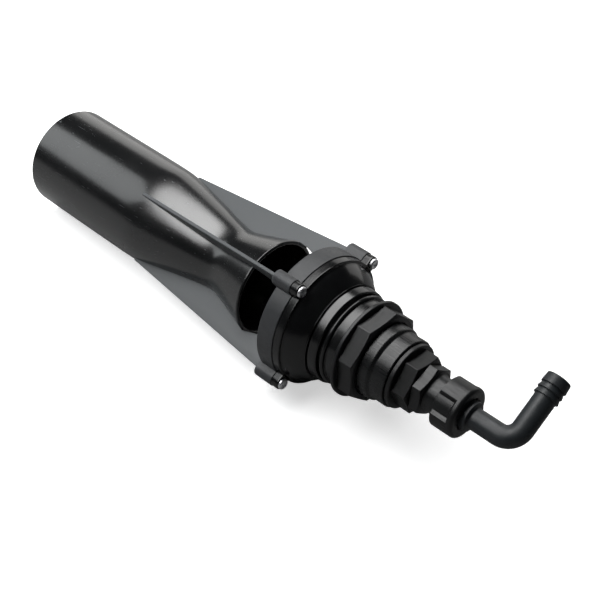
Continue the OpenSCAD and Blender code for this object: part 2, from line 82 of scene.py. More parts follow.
# Length of the flange ring, and how far the screw bosses stand behind it, in millimetres
RING_LENGTH, BOSS_BACK = 16.0, 2.4


# ---------------------------------------------------------------- outlines and surfaces

def rounded(corners, steps=6):
    """A closed outline of [x, r, fillet] corners with its corners rounded.

    A fillet of radius q in a corner of half angle h touches both sides at q / tan(h) and is centred
    q / sin(h) along the bisector. Between its ends v0 and v1, seen from the centre, it is
    (sin((1 - t) w) v0 + sin(t w) v1) / sin(w), with w = pi - 2 h. One more point on each side of
    the arc keeps the flat beside it flat.
    """
    data = np.asarray(corners, float)
    p, q = data[:, :2], data[:, 2:]
    before, after = np.roll(p, 1, 0) - p, np.roll(p, -1, 0) - p
    size0 = np.linalg.norm(before, axis=1, keepdims=True)
    size1 = np.linalg.norm(after, axis=1, keepdims=True)
    d0, d1 = before / size0, after / size1
    half = np.arccos(np.clip((d0 * d1).sum(1, keepdims=True), -1, 1)) / 2
    half = np.clip(half, 1e-3, math.pi / 2 - 1e-4)
    touch = q / np.tan(half)
    middle = d0 + d1
    length = np.linalg.norm(middle, axis=1, keepdims=True)
    middle = np.where(length > 1e-6, middle / np.maximum(length, 1e-6), 0)
    centre = p + middle * q / np.sin(half)
    v0, v1 = p + d0 * touch - centre, p + d1 * touch - centre
    w = math.pi - 2 * half
    t, whole = np.linspace(0, 1, steps + 1)[None, :, None], w[:, None]
    turn = (np.sin((1 - t) * whole) * v0[:, None] + np.sin(t * whole) * v1[:, None]) / np.sin(whole)
    arcs = centre[:, None] + turn
    hold0 = np.minimum(0.4 * q, (size0 - touch - np.roll(touch, 1, 0)) / 3)
    hold1 = np.minimum(0.4 * q, (size1 - touch - np.roll(touch, -1, 0)) / 3)
    first = (p + d0 * (touch + hold0))[:, None]
    last = (p + d1 * (touch + hold1))[:, None]
    line = np.concatenate([first, arcs, last], axis=1).reshape(-1, 2)
    gap = np.linalg.norm(line - np.roll(line, 1, 0), axis=1)
    return line[gap > 1e-5]


def curve(points):
    """Outline points that need no fillet, as corners of fillet 0."""
    points = np.asarray(points, float)
    return np.column_stack([points, np.zeros(len(points))])


def circle_of(count):
    """Evenly spaced angles round the axis."""
    return np.arange(count) * 2 * math.pi / count


def round_axis(x, r, angles, off=(0.0, 0.0)):
    """Points (x, y0 + r cos a, z0 + r sin a) for rows of stations x and radii r at the angles a."""
    x, r, a = np.broadcast_arrays(x, r, angles)
    return np.stack([x, off[0] + r * np.cos(a), off[1] + r * np.sin(a)], axis=-1)


def turned(line, count=192, off=(0.0, 0.0)):
    """The outline's surface of revolution about an axis along X through off."""
    return round_axis(line[:, :1], line[:, 1:], circle_of(count)[None], off)


def quads(rows, columns, ring):
    """Corner numbers of a grid's faces. Columns always wrap round; rows do where ring is true."""
    i = np.arange(rows if ring else rows - 1)[:, None]
    j = np.arange(columns)[None]
    i1, j1 = (i + 1) % rows, (j + 1) % columns
    corners = (i * columns + j, i1 * columns + j, i1 * columns + j1, i * columns + j1)
    return np.stack(np.broadcast_arrays(*corners), -1).reshape(-1, 4)


def shell(points):
    """Vertices and faces of a grid whose outline is a closed ring, such as a hollow turned part."""
    return points.reshape(-1, 3), quads(points.shape[0], points.shape[1], True).tolist()


def solid(points):
    """Vertices and faces of a grid whose first and last rows are closed with a fan to their middle."""
    rows, columns = points.shape[:2]
    poles = [points[0].mean(0), points[-1].mean(0)]
    count = rows * columns
    j = np.arange(columns)
    j1 = (j + 1) % columns
    front = np.stack([np.full(columns, count), j, j1], -1)
    back = np.stack([np.full(columns, count + 1), count - columns + j1, count - columns + j], -1)
    faces = quads(rows, columns, False).tolist() + front.tolist() + back.tolist()
    return np.concatenate([points.reshape(-1, 3), poles]), faces


def volume(points, faces):
    """Signed volume of a closed surface, from the fans of its faces: sum of a . (b x c) / 6."""
    total = 0.0
    for corners in (3, 4):
        chosen = np.array([f for f in faces if len(f) == corners], int).reshape(-1, corners)
        a = points[chosen[:, 0]]
        for k in range(1, corners - 1):
            total += np.einsum("ij,ij->", a, np.cross(points[chosen[:, k]], points[chosen[:, k + 1]])) / 6
    return total


def piece(name, shapes, body, material, nodes, sharp=38):
    """Makes one object of closed shapes, facing outwards, and ties it to the CAD frame."""
    points, faces, start = [], [], 0
    for verts, corners in shapes:
        step = 1 if volume(verts, corners) > 0 else -1
        faces += [[start + c for c in f[::step]] for f in corners]
        points.append(verts)
        start += len(verts)
    mesh = bpy.data.meshes.new(name)
    mesh.from_pydata(np.concatenate(points) * MM, [], faces)
    mesh.shade_smooth()
    mesh.set_sharp_from_angle(angle=math.radians(sharp))
    mesh.materials.append(material)
    made = bpy.data.objects.new(name, mesh)
    bpy.context.scene.collection.objects.link(made)
    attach(made, body)
    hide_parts(*nodes)
    return made


def fin_angles():
    """Angles of the four fins, lugs and screws, from +Y towards +Z."""
    return FIN_ANGLE + np.arange(4) * math.pi / 2


def polygon_radius(angles, flat, sides, corner, edge):
    """Distance from the axis to a regular polygon with corners rounded to the radius edge.

    On a flat it is flat / cos(angle from the flat's middle). Near a corner, at angle t from it, it
    is d cos(t) + sqrt(edge^2 - d^2 sin^2(t)), with d = (flat - edge) / cos(pi / sides).
    """
    half = math.pi / sides
    t = (angles - corner + half) % (2 * half) - half
    d = (flat - edge) / math.cos(half)
    arc = d * np.cos(t) + np.sqrt(np.maximum(edge ** 2 - (d * np.sin(t)) ** 2, 0))
    end = math.atan2(edge * math.sin(half), d + edge * math.cos(half))
    return np.where(np.abs(t) < end, arc, flat / np.cos(half - np.abs(t)))


def polygon_angles(flat, sides, corner, edge, count=144):
    """Even angles round the axis, and close ones over each rounded corner."""
    half = math.pi / sides
    d = (flat - edge) / math.cos(half)
    end = math.atan2(edge * math.sin(half), d + edge * math.cos(half))
    near = end * np.array([-1.7, -1.15, -1, -0.6, -0.2, 0.2, 0.6, 1, 1.15, 1.7])
    corners = corner + np.arange(sides)[:, None] * 2 * half + near
    even = circle_of(count)
    gap = np.abs((even[:, None] - corner + half) % (2 * half) - half)[:, 0]
    return np.sort(np.concatenate([even[gap > 2 * end], (corners % (2 * math.pi)).ravel()]))


def prism_rows(x0, x1, radius, end_r, slope, bevel):
    """Rows of a chamfered prism from its base x0 to its front x1, as (stations, radii).

    The chamfer cone of radius end_r + slope (x1 - x) meets a side of radius R at
    x1 - (R - end_r) / slope, and a bevel softens that edge.
    """
    crest = x1 - (radius - end_r) / slope
    one = np.ones_like(radius)
    x = [
        x0 * one, x0 + 0.3 * (crest - x0), crest - 2 * bevel,
        crest - bevel, crest - 0.3 * bevel, crest + 0.12 * bevel,
    ]
    r = [radius, radius, radius, radius, radius - 0.25 * bevel, radius - 0.9 * bevel]
    front = np.array([[-0.45, 0.12], [-0.16, -0.12], [-0.03, -0.5], [0.0, -1.0]]) * bevel
    x += [(x1 + f[0]) * one for f in front]
    r += [(end_r + f[1]) * one for f in front]
    return np.array(x), np.array(r)


def joined(angles, *parts):
    """One grid of rows from outlines and from (stations, radii) pairs, in the order given."""
    x, r = [], []
    for part in parts:
        sx, sr = (part[:, :1], part[:, 1:]) if isinstance(part, np.ndarray) else part
        x.append(np.broadcast_to(sx, (len(sx), len(angles))))
        r.append(np.broadcast_to(sr, (len(sr), len(angles))))
    return np.concatenate(x), np.concatenate(r)


def smooth(low, high, value):
    """0 below low, 1 above high, and 3 t^2 - 2 t^3 between."""
    t = np.clip((value - low) / (high - low), 0, 1)
    return t * t * (3 - 2 * t)


# ---------------------------------------------------------------- materials

def linear(code):
    """An sRGB hex colour as linear red, green, blue and alpha."""
    parts = [int(code[i:i + 2], 16) / 255 for i in (1, 3, 5)]
    return (*[p / 12.92 if p <= 0.04045 else ((p + 0.055) / 1.055) ** 2.4 for p in parts], 1.0)


def add(tree, kind, inputs=None, **settings):
    """Adds a node. settings are its properties; inputs gives its sockets values or links."""
    made = tree.nodes.new("ShaderNode" + kind)
    for key, value in settings.items():
        setattr(made, key, value)
    for socket, value in (inputs or {}).items():
        if isinstance(value, bpy.types.NodeSocket):
            tree.links.new(value, made.inputs[socket])
        else:
            made.inputs[socket].default_value = value
    return made


def surface(name, ior, metallic=0.0, coat=0.0, coat_roughness=0.1):
    """An empty material with its shader, and its object coordinates in metres."""
    material = bpy.data.materials.new(name)
    material.use_nodes = True
    tree = material.node_tree
    shader = tree.nodes["Principled BSDF"]
    shader.inputs["Metallic"].default_value = metallic
    shader.inputs["Coat Weight"].default_value = coat
    shader.inputs["Coat Roughness"].default_value = coat_roughness
    if not metallic:
        shader.inputs["IOR"].default_value = ior
    place = add(tree, "TexCoord").outputs["Object"]
    return material, tree, shader, place


def noise(tree, place, size_mm, stretch=(1, 1, 1), detail=2.0, rough=0.5):
    """Smooth random values with lumps of size_mm, longer along an axis whose stretch is small."""
    mapped = add(tree, "Mapping", {"Vector": place, "Scale": stretch})
    inputs = {"Vector": mapped.outputs["Vector"], "Scale": 1 / (size_mm * MM), "Detail": detail}
    return add(tree, "TexNoise", {**inputs, "Roughness": rough}).outputs["Fac"]


def between(tree, value, low, high, out_low, out_high):
    """Maps value from low..high to out_low..out_high, and holds it there."""
    inputs = {"Value": value, "From Min": low, "From Max": high, "To Min": out_low, "To Max": out_high}
    return add(tree, "MapRange", inputs).outputs["Result"]


def mixed(tree, factor, a, b):
    """The colour a where factor is 0 and b where it is 1."""
    return add(tree, "Mix", {"Factor": factor, "A": a, "B": b}, data_type="RGBA").outputs["Result"]


def coloured(tree, shader, pattern, low, high, a, b):
    """Colours the surface from a to b as the pattern goes from low to high."""
    share = between(tree, pattern, low, high, 0.0, 1.0)
    tree.links.new(mixed(tree, share, a, b), shader.inputs["Base Color"])


def roughened(tree, shader, pattern, low, high, smoothest, roughest):
    """Sets the roughness from smoothest to roughest as the pattern goes from low to high."""
    tree.links.new(between(tree, pattern, low, high, smoothest, roughest), shader.inputs["Roughness"])


def bumped(tree, shader, *layers):
    """Stacks (height, depth in mm) layers of relief and sends them to the shader."""
    normal = None
    for height, depth in layers:
        inputs = {"Height": height, "Distance": depth * MM, "Strength": 1.0}
        if normal is not None:
            inputs["Normal"] = normal
        normal = add(tree, "Bump", inputs).outputs["Normal"]
    tree.links.new(normal, shader.inputs["Normal"])


def gloss_pvc(colour, scuff):
    """Extruded and drawn PVC pipe: a deep gloss with draw lines along it, and a scuffed end."""
    material, tree, shader, place = surface("gloss drawn PVC", 1.54, coat=0.9, coat_roughness=0.2)
    draw = noise(tree, place, 5, (0.04, 1, 1), 3)
    cloud = noise(tree, place, 26, (0.5, 1, 1), 3)
    end = between(tree, add(tree, "SeparateXYZ", {"Vector": place}).outputs["X"], 0.0, 0.09, 1.0, 0.0)
    specks = between(tree, noise(tree, place, 3.2, (0.5, 1, 1), 4, 0.7), 0.63, 0.72, 0.0, 1.0)
    worn = add(tree, "Math", {0: specks, 1: end}, operation="MULTIPLY").outputs["Value"]
    hair = between(tree, noise(tree, place, 1.1, (0.05, 1, 1), 2), 0.68, 0.76, 0.0, 0.5)
    marks = add(tree, "Math", {0: worn, 1: hair}, operation="MAXIMUM").outputs["Value"]
    tree.links.new(mixed(tree, marks, colour, scuff), shader.inputs["Base Color"])
    base = between(tree, cloud, 0.3, 0.7, 0.17, 0.3)
    rough = add(tree, "Math", {0: marks, 1: 0.25, 2: base}, operation="MULTIPLY_ADD").outputs["Value"]
    tree.links.new(rough, shader.inputs["Roughness"])
    bumped(tree, shader, (draw, 0.03), (cloud, 0.35))
    return material


def satin_abs(name, colour, tint, matt, painted_light_end):
    """Injection-moulded ABS with a satin tool finish: an even soft sheen over a fine grain.

    The faces before the end station, the last argument, take the paler fourth colour: painted light that
    makes them read brighter, as if more light fell on them. Their finish is the same as the rest.
    """
    material, tree, shader, place = surface(name, 1.52)
    cloud = noise(tree, place, 14, (0.5, 1, 1), 3)
    grain = noise(tree, place, 0.5, detail=3)
    clouded = mixed(tree, between(tree, cloud, 0.3, 0.7, 0.0, 1.0), colour, tint)
    along = add(tree, "SeparateXYZ", {"Vector": place}).outputs["X"]
    # Painted light: the faces before the end station are painted in the paler colour, so they read as more
    # brightly lit
    coloured(tree, shader, along, painted_light_end - 2 * MM, painted_light_end, matt, clouded)
    roughened(tree, shader, noise(tree, place, 3), 0.3, 0.7, 0.36, 0.5)
    bumped(tree, shader, (grain, 0.015), (cloud, 0.1))
    return material


def gloss_abs(colour, tint):
    """Injection-moulded ABS from a polished tool: near mirror gloss with a slight orange peel."""
    material, tree, shader, place = surface("gloss moulded ABS", 1.5, coat=0.1, coat_roughness=0.1)
    cloud = noise(tree, place, 18, detail=3)
    peel = noise(tree, place, 2.4)
    coloured(tree, shader, cloud, 0.35, 0.65, colour, tint)
    roughened(tree, shader, cloud, 0.3, 0.7, 0.14, 0.26)
    bumped(tree, shader, (peel, 0.012), (cloud, 0.12))
    return material


def polypropylene(name, colour, tint, shine):
    """Moulded polypropylene fitting: waxy satin, with fine flow lines along the axis."""
    material, tree, shader, place = surface(name, 1.46)
    flow = noise(tree, place, 1.1, (0.08, 1, 1), 3)
    cloud = noise(tree, place, 9, detail=3)
    coloured(tree, shader, cloud, 0.35, 0.65, colour, tint)
    roughened(tree, shader, flow, 0.3, 0.7, shine - 0.06, shine + 0.08)
    bumped(tree, shader, (flow, 0.03), (cloud, 0.08))
    return material


def filled_nylon(colour, tint):
    """Glass-filled nylon: dry satin grey with a fine mottle of fibres at the skin."""
    material, tree, shader, place = surface("glass-filled nylon", 1.53)
    fibre = noise(tree, place, 0.8, detail=4, rough=0.7)
    cloud = noise(tree, place, 7, detail=3)
    coloured(tree, shader, fibre, 0.4, 0.6, colour, tint)
    roughened(tree, shader, cloud, 0.3, 0.7, 0.4, 0.52)
    bumped(tree, shader, (fibre, 0.02), (cloud, 0.06))
    return material


def polished_steel(colour, tint):
    """Tumbled stainless screws: bright metal with soft dents and dull specks."""
    material, tree, shader, place = surface("tumbled stainless steel", 1.5, metallic=1.0)
    dents = noise(tree, place, 0.9)
    coloured(tree, shader, dents, 0.35, 0.65, colour, tint)
    roughened(tree, shader, dents, 0.3, 0.7, 0.26, 0.4)
    bumped(tree, shader, (dents, 0.09))
    return material


def drawn_steel(colour, tint):
    """Drawn spring wire and stamped rings: grey metal with fine lines."""
    material, tree, shader, place = surface("drawn spring steel", 1.5, metallic=1.0)
    lines = noise(tree, place, 0.4, (1, 0.2, 0.2), 3)
    tree.links.new(mixed(tree, lines, colour, tint), shader.inputs["Base Color"])
    roughened(tree, shader, lines, 0.3, 0.7, 0.25, 0.4)
    bumped(tree, shader, (lines, 0.01))
    return material


def epdm_rubber(colour, tint):
    """Moulded EPDM seals: matt black with a dusty bloom."""
    material, tree, shader, place = surface("moulded EPDM rubber", 1.5)
    bloom = noise(tree, place, 1.6, detail=4)
    coloured(tree, shader, bloom, 0.45, 0.65, colour, tint)
    roughened(tree, shader, bloom, 0.3, 0.7, 0.6, 0.8)
    bumped(tree, shader, (bloom, 0.02))
    return material


def acetal(colour, tint):
    """Moulded acetal valve parts: ivory, slippery and faintly marbled."""
    material, tree, shader, place = surface("moulded acetal", 1.48)
    marble = noise(tree, place, 6, detail=3)
    coloured(tree, shader, marble, 0.35, 0.65, colour, tint)
    roughened(tree, shader, marble, 0.3, 0.7, 0.28, 0.4)
    bumped(tree, shader, (marble, 0.03))
    return material


# ---------------------------------------------------------------- what a user may change

def length(label, default, text):
    """A length property in metres."""
    return bpy.props.FloatProperty(
        name=label, default=default, description=text, unit="LENGTH", subtype="DISTANCE", min=0.0)


def colour(label, code, text):
    """A colour property, with its default given in sRGB hex."""
    return bpy.props.FloatVectorProperty(
        name=label, default=linear(code), description=text, subtype="COLOR", size=4, min=0.0, max=1.0)


class FOOT_PG_tube(bpy.types.PropertyGroup):
    """Sizes and finish of the venturi tube."""
    radius: length("Radius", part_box("venturi_tube")[1].y, "Outside radius of the straight tube")
    wall: length("Wall", 3.5 * MM, "Wall thickness of the tube")
    straight: length("Straight length", 132.8 * MM, "From the open end to the cone")
    throat: length("Throat radius", 29.5 * MM, "Outside radius of the throat")
    throat_x: length("Throat station", 216 * MM, "From the open end to the throat")
    mouth: length("Mouth radius", 42.75 * MM, "Outside radius of the bell mouth")
    skin: colour("Tube", "#0a0b0c", "Colour of the drawn PVC")
    scuff: colour("Scuffs", "#54585b", "Colour of scuffed PVC")


class FOOT_PG_frame(bpy.types.PropertyGroup):
    """Sizes and finish of the fin frame and its screws."""
    ring: length("Ring radius", reach("fin_frame"), "Outside radius of the flange ring")
    ring_length: length("Ring length", RING_LENGTH * MM, "Length of the flange ring")
    bore: length("Water way", 32 * MM, "Radius of the water way through the ring")
    fin: length("Fin thickness", 2.8 * MM, "Thickness of each fin")
    bolt_circle: length("Screw circle", 58.8 * MM, "Distance of the screws from the main axis")
    boss: length("Boss radius", 6.1 * MM, "Radius of the screw bosses")
    skin: colour("Frame", "#303234", "Colour of the satin ABS")
    # The fins' paler colour is painted light: it makes them read brighter than the ring, as if more light
    # fell on them
    matt: colour("Fins", "#505355", "Colour of the frame's matt fins")
    tint: colour("Frame clouding", "#38393b", "Second colour of the satin ABS")
    screw: colour("Screws", "#f2f2f3", "Colour of the screws")


class FOOT_PG_cap(bpy.types.PropertyGroup):
    """Sizes and finish of the nozzle cap."""
    flange: length("Flange radius", 54.2 * MM, "Radius of the cap's flange")
    flange_length: length("Flange length", 6.8 * MM, "Thickness of the cap's flange")
    dome: length("Shoulder radius", 51 * MM, "Radius of the shoulder where it leaves the flange")
    dome_bulge: length("Shoulder bulge", 1.2 * MM, "How far the shoulder bulges out of a cone")
    collar: length("Collar radius", 40.7 * MM, "Radius of the collar behind the neck")
    bead: length("Bead radius", 38.4 * MM, "Radius of the bead on the neck")
    neck: length("Neck radius", 35.75 * MM, "Radius of the neck")
    skin: colour("Cap", "#070708", "Colour of the gloss ABS")
    tint: colour("Cap clouding", "#0b0c0d", "Second colour of the gloss ABS")


class FOOT_PG_fittings(bpy.types.PropertyGroup):
    """Sizes and finishes of the screwed fittings, the fly nut and the hose tail."""
    octagon: length("Octagon", 35.5 * MM, "Half the reducer's width across flats")
    cover_hex: length("Cover hexagon", 20.65 * MM, "Half the cover's width across flats")
    nipple_hex: length("Nipple hexagon", 18.1 * MM, "Half the nipple's width across flats")
    nut: length("Nut radius", 17.5 * MM, "Radius of the nut's barrel")
    pad: length("Pad radius", 20.7 * MM, "Radius over the nut's grip pads and rim")
    tail: length("Tail radius", 8.5 * MM, "Outside radius of the hose tail's pipe")
    bend: length("Bend radius", 12.5 * MM, "Radius of the elbow on its centre line")
    satin: colour("Grey fittings", "#141516", "Reducer and valve body")
    satin_tint: colour("Grey clouding", "#101112", "Second colour of the grey fittings")
    dark: colour("Dark fittings", "#0f1011", "Cover, nipple and nut")
    dark_tint: colour("Dark clouding", "#0b0c0d", "Second colour of the dark fittings")
    tail_skin: colour("Hose tail", "#1c2023", "Colour of the filled nylon")
    tail_tint: colour("Hose tail fibres", "#24282b", "Colour of the fibres at its skin")


GROUPS = {
    "foot_tube": FOOT_PG_tube, "foot_frame": FOOT_PG_frame,
    "foot_cap": FOOT_PG_cap, "foot_fittings": FOOT_PG_fittings,
}


# ---------------------------------------------------------------- the tube, frame and cap

def venturi_outline(g, inset):
    """Outside of the tube's front half from a straight part to the mouth, less inset.

    r = throat - k + sqrt((m d)^2 + k^2) at distance d from the throat, where k rounds the throat
    and m is set so that each side reaches its end radius at its end. A soft least value,
    (a + b - sqrt((a - b)^2 + c^2)) / 2, blends the cone into the straight radius. It stays a little
    under that radius, and c^2 / 80 makes up for most of it.
    """
    k, c = 2.2, 2.0
    x0, throat_x, x1 = g.straight / MM, g.throat_x / MM, ends("venturi_tube")[1]
    d = np.concatenate([np.linspace(x0 - 70 - throat_x, 0, 60)[:-1], np.linspace(0, x1 - throat_x, 22)])
    throat, radius = g.throat / MM, g.radius / MM
    rise = np.where(d < 0, radius - throat, g.mouth / MM - throat)
    side = np.where(d < 0, throat_x - x0, x1 - throat_x)
    m = np.sqrt((rise + k) ** 2 - k ** 2) / side
    r = throat - k + np.sqrt((m * d) ** 2 + k ** 2)
    soft = (radius + r - np.sqrt((radius - r) ** 2 + c ** 2)) / 2
    back = np.minimum(soft + c * c / 80, radius)
    return np.column_stack([throat_x + d, np.where(d < 0, back, r) - inset])


class FOOT_OT_tube(bpy.types.Operator):
    """Venturi tube: straight pipe, long cone, round throat and bell, with soft lips."""
    bl_idname = "foot.tube"
    bl_label = "Venturi tube"

    def execute(self, context):
        g = context.scene.foot_tube
        wall, radius = g.wall / MM, g.radius / MM
        outside = venturi_outline(g, 0)
        inside = venturi_outline(g, wall)[::-1]
        line = rounded(np.concatenate([
            [[0, radius, 0.9]], curve(outside[:-1]), [[*outside[-1], 1.2], [*inside[0], 1.2]],
            curve(inside[1:]), [[0, radius - wall, 0.7]],
        ]))
        skin = gloss_pvc(g.skin, g.scuff)
        piece("venturi_tube_skin", [shell(turned(line, 224))], "housing", skin,
            ["venturi_tube"])
        return {"FINISHED"}


def fin_shape(g, tube, angle):
    """One fin: a plate whose section, with a rounded outer edge, is carried along X.

    Its outer edge is a straight line from the tube to the ring, and its inner edge follows the
    venturi, then runs straight from the mouth to the ring's water way.
    """
    half, edge = g.fin / MM / 2, 0.7
    low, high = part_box("fin_frame")
    x0, x1 = low.x / MM, high.x / MM - g.ring_length / MM
    line = venturi_outline(tube, 0)
    tip = (g.bolt_circle + 0.2 * g.boss) / MM
    x = np.concatenate([[x0, x0 + 0.5], np.linspace(x0 + 1.5, x1, 70)])[::-1]
    under_x = np.concatenate([line[:, 0], [x1 + 0.4]])
    under_r = np.concatenate([line[:, 1], [g.bore / MM]]) - 0.02
    inner = np.interp(x, under_x, under_r)
    outer = tube.radius / MM + 0.5 + (tip - tube.radius / MM - 0.5) * (x - x0) / (x1 - x0)
    t = np.linspace(0, math.pi / 2, 5)
    right = np.column_stack([half - edge + edge * np.cos(t), -edge + edge * np.sin(t)])
    left = right[::-1] * [-1, 1]
    width = np.concatenate([[half, half, half], right[:, 0], left[:, 0], [-half, -half, -half]])
    height = outer - inner
    share = np.array([0, 0.33, 0.66])
    sides = inner[:, None] + (height[:, None] - edge) * share
    top = outer[:, None] + np.concatenate([right[:, 1], left[:, 1]])
    v = np.concatenate([sides, np.maximum(top, inner[:, None] + 0.05), sides[:, ::-1]], axis=1)
    u = np.broadcast_to(width, v.shape)
    c, s = math.cos(angle), math.sin(angle)
    return np.stack([np.broadcast_to(x[:, None], v.shape), v * c - u * s, v * s + u * c], axis=-1)


def lug_shape(x0, x1, radius, hole, hole_x, circle, web, angle, edge0, edge1):
    """A screw boss about its own axis, half round outside and straight-sided down to the ring.

    Its radius at angle a from the outward direction is radius where cos a > 0, and else the lesser
    of radius / |sin a| and web / |cos a|. A blind or through hole runs down its middle.
    """
    a = circle_of(96)
    own = a - angle
    side = radius / np.maximum(np.abs(np.sin(own)), 1e-6)
    foot = web / np.maximum(-np.cos(own), 1e-6)
    r = np.where(np.cos(own) >= 0, radius, np.minimum(side, foot))
    bend = np.linspace(0, math.pi / 2, 5)
    back = [(x0 + edge0 * (1 - np.sin(b)), r - edge0 * (1 - np.cos(b))) for b in bend[::-1]]
    front = [(x1 - edge1 * (1 - np.cos(b)), r - edge1 * (1 - np.sin(b))) for b in bend[::-1]]
    way = [(x1, hole + 0.3), (x1 - 0.3, hole), (hole_x, hole)]
    rows = [*back, (x0 + edge0 * 1.5, r), (x1 - edge1 * 2, r), *front, *way]
    x = np.array([np.broadcast_to(row[0], a.shape) for row in rows])
    radii = np.array([np.broadcast_to(row[1], a.shape) for row in rows])
    off = (circle * math.cos(angle), circle * math.sin(angle))
    return round_axis(x, radii, a, off)


class FOOT_OT_frame(bpy.types.Operator):
    """Fin frame: a flange ring with seal grooves, four fins and four screw bosses."""
    bl_idname = "foot.frame"
    bl_label = "Fin frame"

    def execute(self, context):
        g, tube = context.scene.foot_frame, context.scene.foot_tube
        ring, bore = g.ring / MM, g.bore / MM
        x1 = RING_END
        x0 = x1 - g.ring_length / MM
        seat, seat_x = 46.26, x1 - 4.1
        cord, half = 50.63, 1.5
        groove = cord + np.array([-half, half])
        line = rounded([
            [x0, ring, 0.9], [x0, bore, 0.8], [seat_x, bore, 0.3], [seat_x, seat, 0.2], [x1, seat, 0.2],
            [x1, groove[0], 0.1], [x1 - 2.8, groove[0], 0.2], [x1 - 2.8, groove[1], 0.2],
            [x1, groove[1], 0.1], [x1, ring, 0.5],
        ])
        shapes = [shell(turned(line, 224))]
        boss, circle = g.boss / MM, g.bolt_circle / MM
        for angle in fin_angles():
            shapes.append(solid(fin_shape(g, tube, angle)))
            lug = lug_shape(x0 - BOSS_BACK, x1 - 0.02, boss, 2.3, x1 - 14.2, circle, 7.2, angle, 1.3, 0.3)
            shapes.append(solid(lug))
        # The fins ahead of the ring get the paler fin colour: painted light, so they read brighter than the
        # ring
        skin = satin_abs("satin moulded ABS", g.skin, g.tint, g.matt, x0 * MM)
        piece("fin_frame_skin", shapes, "housing", skin, ["fin_frame"])
        return {"FINISHED"}


class FOOT_OT_cap(bpy.types.Operator):
    """Nozzle cap: a flange with lugs, a bulged shoulder, a collar, a bead and a neck."""
    bl_idname = "foot.cap"
    bl_label = "Nozzle cap"

    def execute(self, context):
        g, ring = context.scene.foot_cap, context.scene.foot_frame
        x0, x1 = ends("nozzle_cap")
        rim = x0 + g.flange_length / MM
        flange, dome, collar, bead, neck = (v / MM for v in (g.flange, g.dome, g.collar, g.bead, g.neck))
        chamber, thread = 43, 29.95
        base = x0 + 22.8
        t = np.linspace(0, 1, 14)[1:-1]
        shoulder = np.column_stack([
            rim + 1.2 + (base - rim - 1.2) * t,
            dome + (collar - 1.2 - dome) * t + 4 * g.dome_bulge / MM * t * (1 - t),
        ])
        a = np.linspace(math.pi, 0, 13)
        bead_x = base + 11.8
        ridge = np.column_stack([bead_x + 2 * np.cos(a), bead - 2 + 2 * np.sin(a)])
        line = rounded(np.concatenate([
            [[x0, flange, 0.35], [rim, flange, 0.7], [rim, dome + 0.9, 0.35], [rim + 1.2, dome, 0.5]],
            curve(shoulder),
            [[base - 0.4, collar - 2.6, 0.5], [base - 0.4, collar, 1.3], [base + 8.4, collar - 0.7, 1.3],
             [base + 8.4, bead - 2.6, 0.6], [bead_x - 2, bead - 2.6, 0.3]],
            curve(ridge),
            [[bead_x + 2, neck, 0.5], [x1, neck, 0.7], [x1, thread, 0.5], [base - 1, thread, 0.5],
             [base - 8, chamber, 2], [x0, chamber, 0.3]],
        ]))
        shapes = [shell(turned(line, 256))]
        circle = ring.bolt_circle / MM
        for angle in fin_angles():
            lug = lug_shape(x0 + 0.02, rim, 5.5, 2.3, x0 + 0.1, circle, 8.5, angle, 0.3, 0.8)
            shapes.append(solid(lug))
        skin = gloss_abs(g.skin, g.tint)
        piece("nozzle_cap_skin", shapes, "housing", skin, ["nozzle_cap"])
        return {"FINISHED"}


class FOOT_OT_screws(bpy.types.Operator):
    """Cap screws: domed pan heads with a tapered cross recess, on plain shanks."""
    bl_idname = "foot.screws"
    bl_label = "Cap screws"

    def execute(self, context):
        g = context.scene.foot_frame
        head, shank, tip = 4.6, 2.1, 20
        seat = SCREW_END - 2.8
        a = circle_of(96)
        r = np.linspace(0, head, 44)[1:, None]
        dome = 2.8 - 0.35 * (r / head) ** 2 - 1.3 * np.clip(r / head, 0, 1) ** 12
        shapes = []
        for angle in fin_angles():
            own = a - angle - 0.5
            u, v = r * np.cos(own), r * np.sin(own)
            narrow = np.minimum(np.abs(u), np.abs(v))
            wide = np.maximum(np.abs(u), np.abs(v))
            cross = (1 - smooth(0.5, 0.85, narrow)) * (1 - smooth(2.0, 2.7, wide))
            top = seat + dome - 1.3 * cross * (1 - 0.25 * wide / 2.5)
            skirt = np.array([
                [0.7, head], [0.35, head], [0.05, head - 0.25], [0.0, head - 0.6],
                [0, shank], [-0.3, shank], [-tip + 1, shank], [-tip, shank - 0.9],
            ])
            below = (len(skirt), len(a))
            x = np.concatenate([top, np.broadcast_to(seat + skirt[:, :1], below)])
            radii = np.concatenate([np.broadcast_to(r, top.shape), np.broadcast_to(skirt[:, 1:], below)])
            off = (g.bolt_circle / MM * math.cos(angle), g.bolt_circle / MM * math.sin(angle))
            shapes.append(solid(round_axis(x, radii, a, off)))
        skin = polished_steel(g.screw, linear("#dcdde0"))
        piece("cap_screw_set", shapes, "housing", skin, ["cap_screws"])
        return {"FINISHED"}


class FOOT_OT_jet(bpy.types.Operator):
    """Jet nozzle: a clamped flange and a cone that points down the tube."""
    bl_idname = "foot.jet"
    bl_label = "Jet nozzle"

    def execute(self, context):
        x0, x1 = ends("jet_nozzle")
        flange_x, lip, bore, root = x1 - 4, reach("jet_nozzle") / MM, 9, 28
        wall, cord, half = 2.4, 44.6, 1.0
        groove = cord + np.array([-half, half])
        line = rounded([
            [x0, bore, 0.4], [x0, bore + wall, 0.7], [flange_x, root, 2], [flange_x, lip, 0.3],
            [x1, lip, 0.2],
            [x1, groove[1], 0.1], [x1 - 1.8, groove[1], 0.2], [x1 - 1.8, groove[0], 0.2],
            [x1, groove[0], 0.1],
            [x1, root - wall, 1], [x0 + 6, bore, 3],
        ])
        skin = satin_abs("satin moulded ABS, nozzle", linear("#0c0d0e"), linear("#101112"),
            linear("#0c0d0e"), 0.0)
        piece("jet_nozzle_skin", [shell(turned(line, 144))], "housing", skin,
            ["jet_nozzle"])
        return {"FINISHED"}


# ---------------------------------------------------------------- the fittings

